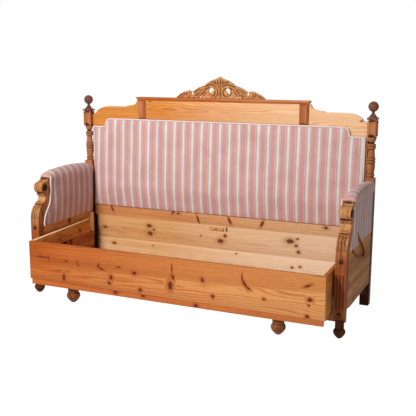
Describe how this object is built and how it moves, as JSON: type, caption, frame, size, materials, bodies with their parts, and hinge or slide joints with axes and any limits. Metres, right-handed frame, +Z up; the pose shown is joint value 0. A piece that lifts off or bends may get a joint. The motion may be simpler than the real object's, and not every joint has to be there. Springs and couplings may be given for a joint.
{
  "type": "pull-out bench bed",
  "caption": "High-backed pine settle with upholstered back and scrolled arms, a carved crest, turned posts and a box front that slides out to widen the slatted bed.",
  "frame": {"origin": "on the floor, under the middle of the whole bench as it stands with its front part drawn out", "axes": "+X to the right-hand gable as one faces the bench, +Y towards the wall behind it, +Z up"},
  "size_m": [1.924, 0.764, 1.282],
  "materials": {
    "varnished_pine": "satin golden varnish",
    "raw_pine": "bare planed pine",
    "stained_wood": "dark brown stain under satin varnish",
    "dark_knob": "near-black gloss",
    "striped_fabric": "woven rose and off-white stripes",
    "strap_leather": "worn tan leather",
    "dark_screw": "dark oxidised steel"
  },
  "bodies": {
    "frame": {"right_front_stile": "varnished_pine", "left_front_stile": "varnished_pine", "right_scroll_eyes": "dark_knob", "left_scroll_eyes": "dark_knob", "stile_knobs": "dark_knob", "right_front_foot": "stained_wood", "left_front_foot": "stained_wood", "right_rear_post": "stained_wood", "left_rear_post": "stained_wood", "right_finial": "stained_wood", "left_finial": "stained_wood", "right_side_panel": "varnished_pine", "left_side_panel": "varnished_pine", "right_arm_board": "varnished_pine", "left_arm_board": "varnished_pine", "right_arm_rail": "raw_pine", "left_arm_rail": "raw_pine", "right_arm_pad": "striped_fabric", "left_arm_pad": "striped_fabric", "right_arm_cover": "striped_fabric", "left_arm_cover": "striped_fabric", "lower_back_rail": "varnished_pine", "upper_bed_board": "raw_pine", "lower_bed_board": "raw_pine", "back_planks": "raw_pine", "back_cleats": "raw_pine", "top_board": "varnished_pine", "frieze_panel": "varnished_pine", "right_frieze_block": "stained_wood", "left_frieze_block": "stained_wood", "cornice": "varnished_pine", "crest": "varnished_pine", "back_pad": "striped_fabric", "fixed_slats": "raw_pine", "front_stretcher": "raw_pine", "back_ledger": "raw_pine", "right_runner": "raw_pine", "left_runner": "raw_pine", "right_guide_batten": "raw_pine", "left_guide_batten": "raw_pine", "button_screw": "dark_screw", "leather_strap": "strap_leather", "strap_tacks": "dark_screw"},
    "drawer": {"drawer_front": "varnished_pine", "drawer_moulding": "varnished_pine", "right_drawer_side": "varnished_pine", "left_drawer_side": "varnished_pine", "drawer_bottom_rail": "raw_pine", "drawer_slats": "raw_pine", "drawer_stops": "raw_pine", "right_drawer_foot": "stained_wood", "left_drawer_foot": "stained_wood"},
    "turn_button": {"turn_button": "varnished_pine"}
  },
  "joints": [
    {"name": "drawer_slide", "type": "slide", "parent": "frame", "child": "drawer", "axis": [0, -1, 0], "range_m": [-0.114, 0.19]},
    {"name": "button_turn", "type": "hinge", "parent": "frame", "child": "turn_button", "pos_m": [-0.012, 0.343, 0.357], "axis": [0, 1, 0], "range_deg": [-90, 90]}
  ]
}
